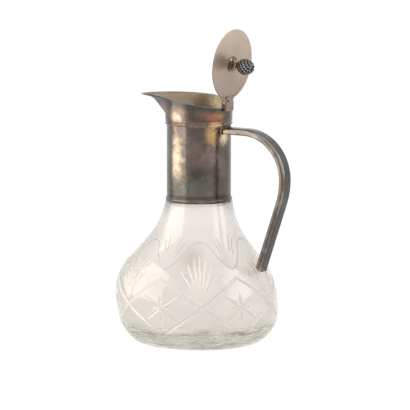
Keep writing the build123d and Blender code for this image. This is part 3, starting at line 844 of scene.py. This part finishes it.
def baseBorder():
    steps = glass["ringSteps"] // (2 * glass["folds"])
    rows = ceil(glass["footRadius"] / glass["spacing"])
    turn = 2 * pi / glass["ringSteps"]
    reach = glass["footRadius"]
    end = turn * steps
    border = [Vector((reach * k / rows, 0)) for k in range(rows)]
    border += [Vector((cos(turn * k), sin(turn * k))) * reach for k in range(steps)]
    border += [Vector((cos(end), sin(end))) * (reach * (1 - k / rows)) for k in range(rows)]
    return border


def baseCuts():
    cuts = []
    turn = 2 * pi / star["rays"]
    for k in range(-1, 4):
        way = Vector((cos(turn * k), sin(turn * k)))
        cuts.append(makeCut([way * star["start"], way * star["reach"]], star["width"], True,
            glass["cutStep"], "polished"))
    return cuts


def makeGlass():
    outside, inside = measureGlass()
    corners, faces, finishes = [], [], []
    folds, first = glass["folds"], radians(glass["firstAngle"])

    def addCopies(sheet, place):
        # twelve copies of a half repeat, every other one mirrored
        flat, depths, triangles, kinds = sheet
        for fold in range(folds):
            for mirror in (1, -1):
                start = len(corners)
                turn = first + 2 * pi * fold / folds
                corners.extend(place(point, depth, turn, mirror)
                    for point, depth in zip(flat, depths))
                faces.extend([start + k for k in triangle[::mirror]] for triangle in triangles)
                finishes.extend(kinds)

    def wallPlace(point, depth, turn, mirror):
        radius, height, centre = outside.at(point.y)
        outR, outZ = outside.outward(point.y)
        angle = turn + mirror * radians(point.x / mmPerDegree)
        reach = radius - outR * depth
        return (centre + reach * cos(angle), reach * sin(angle), height - outZ * depth)

    def basePlace(point, depth, turn, mirror):
        radius, around = point.length, atan2(point.y, point.x)
        angle = turn + mirror * around
        share = min(max((glass["recessRadius"] - radius) / glass["recessSoft"], 0), 1)
        lift = glass["recessDepth"] * share * share * (3 - 2 * share)
        return (radius * cos(angle), radius * sin(angle), lift + depth)

    addCopies(cutSheet(wallBorder(outside.length), wallCuts(), glass["spacing"]), wallPlace)
    addCopies(cutSheet(baseBorder(), baseCuts(), glass["spacing"]), basePlace)

    # the ledge, the neck under the sleeve, the bore, the inside and its floor, ring by ring
    steps = glass["ringSteps"]
    soft, top, ledge = glass["neckRound"], glass["neckTop"], glass["ledgeHeight"]
    neck, bore = glass["neckRadius"], glass["boreRadius"]
    middle, wall = (neck + bore) / 2, (neck - bore) / 2
    sideRows, roundRows = glass["sideRows"], glass["roundRows"]
    rings = [(glass["ledgeRadius"], ledge, 0), (neck, ledge, 0)]
    rings += [(neck, ledge + (top - soft - ledge) * k / sideRows, 0)
        for k in range(1, sideRows + 1)]
    for k in range(1, roundRows):
        turn = pi * k / roundRows
        rings.append((middle + wall * cos(turn), top - soft + soft * sin(turn), 0))
    rings += [(bore, top - soft + (ledge - top + soft) * k / roundRows, 0)
        for k in range(roundRows)]
    hazedFrom = len(rings)
    rows = ceil(inside.length / glass["insideStep"])
    rings += [tuple(inside.at(inside.length * (1 - k / rows))) for k in range(rows)]
    start = len(corners)
    for radius, height, centre in rings:
        for k in range(steps):
            angle = first + 2 * pi * k / steps
            corners.append((centre + radius * cos(angle), radius * sin(angle), height))
    for row in range(len(rings) - 1):
        for k in range(steps):
            a, b = start + row * steps + k, start + row * steps + (k + 1) % steps
            faces.append((a, b, b + steps, a + steps))
            finishes.append(hazeAt(rings[row][1]) if row >= hazedFrom else "polished")
    last = start + (len(rings) - 1) * steps
    corners.append((0, 0, glass["floorHeight"]))
    faces.extend((last + k, last + (k + 1) % steps, len(corners) - 1) for k in range(steps))
    finishes.extend(["polished"] * steps)

    mesh = bpy.data.meshes.new("cut_glass_body")
    mesh.from_pydata([Vector(point) * mm for point in corners], [], faces)
    mesh.materials.append(glassMaterial)
    marks = mesh.attributes.new("finish", "FLOAT_VECTOR", "FACE")
    marks.data.foreach_set("vector", [value for kind in finishes for value in glassFinishes[kind]])
    shape = bmesh.new()
    shape.from_mesh(mesh)
    bmesh.ops.remove_doubles(shape, verts=shape.verts, dist=glass["mergeWithin"] * mm)
    bmesh.ops.recalc_face_normals(shape, faces=shape.faces)
    openEdges = sum(1 for edge in shape.edges if not edge.is_manifold)
    shape.to_mesh(mesh)
    shape.free()
    mesh.shade_smooth()
    mesh.set_sharp_from_angle(angle=glass["sharpFrom"])
    body = addObject("cut_glass_body", mesh)
    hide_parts("glass_body")
    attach(body, "jug")
    print("glass body:", len(mesh.polygons), "faces,", openEdges, "open edges")


makeGlass()


# the finial bud: a core covered with scales

bud = {
    "seat": 36.2, "face": 1.7,          # middle of the lid from the hinge axis, and its outer face
    "start": 7.7,                       # the bud's foot over the lid's face
    "height": 15, "radius": 6.9, "widest": 0.42, "footRadius": 3.5, "tipRadius": 1.0,
    "steps": 32, "rows": 20,
    "scales": 92, "turns": 9.68, "scaleLength": 4.0, "scaleWidth": 4.2, "scaleThickness": 1.4,
    "tipShrink": 0.8, "splay": radians(15), "shrinkFrom": 0.4, "spiralShare": 0.93,
    "ridgeRub": 1.1, "tipRub": 1.3, "baseRub": 0.12,         # how bright each place is rubbed
}


def budOutline(share):
    # radius of the bud's core at a share of its height: two quarter ellipses
    widest, radius = bud["widest"], bud["radius"]
    below = share < widest
    end = bud["footRadius"] if below else bud["tipRadius"]
    span = (widest if below else 1 - widest) / sqrt(1 - (end / radius) ** 2)
    return radius * sqrt(max(0.0, 1 - ((share - widest) / span) ** 2))


def budCore():
    steps, rows = bud["steps"], bud["rows"]
    corners = [(0, 0, 0)]
    for row in range(rows + 1):
        radius, height = budOutline(row / rows), bud["height"] * row / rows
        corners += [(radius * cos(2 * pi * k / steps), radius * sin(2 * pi * k / steps), height)
            for k in range(steps)]
    corners.append((0, 0, bud["height"]))
    faces = [(0, 1 + (k + 1) % steps, 1 + k) for k in range(steps)]
    for row in range(rows):
        first = 1 + row * steps
        faces += [(first + k, first + (k + 1) % steps, first + steps + (k + 1) % steps, first
            + steps + k) for k in range(steps)]
    last = 1 + rows * steps
    faces += [(last + k, last + (k + 1) % steps, last + steps) for k in range(steps)]
    mesh = bpy.data.meshes.new("bud core")
    mesh.from_pydata([Vector(corner) * mm for corner in corners], [], faces)
    mesh.shade_smooth()
    core = addObject("bud core", mesh)
    return core


def scaleTree():
    # pointed scales on a spiral that is wrapped round whatever mesh the modifier is on
    tree = bpy.data.node_groups.new("bud scales", "GeometryNodeTree")
    face = tree.interface
    face.new_socket("Geometry", in_out="INPUT", socket_type="NodeSocketGeometry")
    for kind, names in (("Int", ["Scales"]), ("Float", ["Turns", "Height", "Reach", "Length",
            "Width", "Thickness", "Tip Shrink", "Splay"]), ("Material", ["Finish"])):
        for name in names:
            face.new_socket(name, in_out="INPUT", socket_type="NodeSocket" + kind)
    face.new_socket("Geometry", in_out="OUTPUT", socket_type="NodeSocketGeometry")
    given = addNode(tree, "NodeGroupInput").outputs

    # one scale: a ball flattened to a lens, drawn to a point and turned up along +Z, facing -Y
    ball = addNode(tree, "GeometryNodeMeshUVSphere", {"Segments": 12, "Rings": 8, "Radius": 0.5})
    here = addNode(tree, "GeometryNodeInputPosition")
    parts = addNode(tree, "ShaderNodeSeparateXYZ", {0: here})
    point = addNode(tree, "ShaderNodeMapRange",
        {"Value": parts.outputs["Z"], "From Min": -0.1, "From Max": 0.5, "To Min": 1.0,
        "To Max": 0.3})
    wide = addNode(tree, "ShaderNodeMath", {0: parts.outputs["X"], 1: given["Width"]},
        operation="MULTIPLY")
    narrowed = addNode(tree, "ShaderNodeMath", {0: wide, 1: point}, operation="MULTIPLY")
    thick = addNode(tree, "ShaderNodeMath", {0: parts.outputs["Y"], 1: given["Thickness"]},
        operation="MULTIPLY")
    tall = addNode(tree, "ShaderNodeMath", {0: parts.outputs["Z"], 1: given["Length"]},
        operation="MULTIPLY")
    shape = addNode(tree, "ShaderNodeCombineXYZ", {0: narrowed, 1: thick, 2: tall})
    # the ridge and the tip stand highest and are rubbed first
    outer = addNode(tree, "ShaderNodeMath",
        {0: parts.outputs["Y"], 1: -bud["ridgeRub"], 2: bud["baseRub"]}, operation="MULTIPLY_ADD")
    rubbed = addNode(tree, "ShaderNodeMath", {0: parts.outputs["Z"], 1: bud["tipRub"], 2: outer},
        operation="MULTIPLY_ADD")
    marked = addNode(tree, "GeometryNodeStoreNamedAttribute",
        {"Geometry": ball, "Name": "rubbed", "Value": rubbed})
    leaf = addNode(tree, "GeometryNodeSetPosition", {"Geometry": marked, "Position": shape})

    # a spiral outside the core, shot inwards on to it
    spiral = addNode(tree, "GeometryNodeCurveSpiral",
        {"Resolution": 24, "Rotations": given["Turns"], "Start Radius": given["Reach"],
        "End Radius": given["Reach"], "Height": given["Height"]})
    points = addNode(tree, "GeometryNodeResampleCurve", {"Curve": spiral, "Count": given["Scales"]})
    at = addNode(tree, "GeometryNodeInputPosition")
    inward = addNode(tree, "ShaderNodeVectorMath", {0: at, 1: (-1, -1, 0)}, operation="MULTIPLY")
    hit = addNode(tree, "GeometryNodeRaycast",
        {"Target Geometry": given["Geometry"], "Source Position": at, "Ray Direction": inward,
        "Ray Length": 1.0})
    flipped = addNode(tree, "ShaderNodeVectorMath", {0: hit.outputs["Hit Normal"], 1: (-1, -1, -1)},
        operation="MULTIPLY")
    facing = addNode(tree, "FunctionNodeAlignRotationToVector", {"Vector": flipped}, axis="Y")
    upright = addNode(tree, "FunctionNodeAlignRotationToVector",
        {"Rotation": facing, "Vector": (0, 0, 1)}, axis="Z", pivot_axis="Y")
    splay = addNode(tree, "FunctionNodeAxisAngleToRotation",
        {"Axis": (1, 0, 0), "Angle": given["Splay"]})
    turned = addNode(tree, "FunctionNodeRotateRotation", {"Rotation": upright, "Rotate By": splay},
        rotation_space="LOCAL")
    order = addNode(tree, "GeometryNodeInputIndex")
    share = addNode(tree, "ShaderNodeMath", {0: order, 1: given["Scales"]}, operation="DIVIDE")
    size = addNode(tree, "ShaderNodeMapRange",
        {"Value": share, "From Min": bud["shrinkFrom"], "To Min": 1.0,
        "To Max": given["Tip Shrink"]})
    # the turn is stored before the points move on to the core, because it is worked out off it
    turnKept = addNode(tree, "GeometryNodeStoreNamedAttribute",
        {"Geometry": points, "Name": "turn", "Value": turned}, data_type="QUATERNION")
    seated = addNode(tree, "GeometryNodeSetPosition",
        {"Geometry": turnKept, "Position": hit.outputs["Hit Position"]})
    turn = addNode(tree, "GeometryNodeInputNamedAttribute", {"Name": "turn"},
        data_type="QUATERNION")
    placed = addNode(tree, "GeometryNodeInstanceOnPoints",
        {"Points": seated, "Instance": leaf, "Rotation": turn, "Scale": size})
    cover = addNode(tree, "GeometryNodeRealizeInstances", {"Geometry": placed})
    smooth = addNode(tree, "GeometryNodeSetShadeSmooth", {"Geometry": cover})
    both = addNode(tree, "GeometryNodeJoinGeometry", {"Geometry": given["Geometry"]})
    join(tree, smooth, both.inputs["Geometry"])
    finished = addNode(tree, "GeometryNodeSetMaterial",
        {"Geometry": both, "Material": given["Finish"]})
    addNode(tree, "NodeGroupOutput", {"Geometry": finished})
    return tree


def makeBud():
    core = budCore()
    tree = scaleTree()
    modifier = core.modifiers.new("scales", "NODES")
    modifier.node_group = tree
    values = {"Scales": bud["scales"], "Turns": bud["turns"],
        "Height": bud["height"] * bud["spiralShare"] * mm, "Reach": bud["radius"] * 2 * mm,
        "Length": bud["scaleLength"] * mm, "Width": bud["scaleWidth"] * mm,
        "Thickness": bud["scaleThickness"] * mm, "Tip Shrink": bud["tipShrink"],
        "Splay": bud["splay"], "Finish": oxidised}
    for item in tree.interface.items_tree:
        if item.in_out == "INPUT" and item.name in values:
            modifier[item.identifier] = values[item.name]
    graph = bpy.context.evaluated_depsgraph_get()
    mesh = bpy.data.meshes.new_from_object(core.evaluated_get(graph))
    bpy.data.objects.remove(core)
    # from its own upright place out along the open lid
    out = Matrix.Rotation(openLean, 4, "Y") @ Matrix.Translation(
        Vector((bud["face"], 0, bud["seat"])) * mm)
    stand = Matrix.Translation(hingeAt * mm) @ out @ Matrix.Rotation(pi / 2, 4, "Y")
    mesh.transform(stand @ Matrix.Translation(Vector((0, 0, bud["start"] * mm))))
    piece = addObject("scaled_bud", mesh)
    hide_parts("finial_bud")
    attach(piece, "lid")
    print("bud:", len(mesh.polygons), "faces")


makeBud()
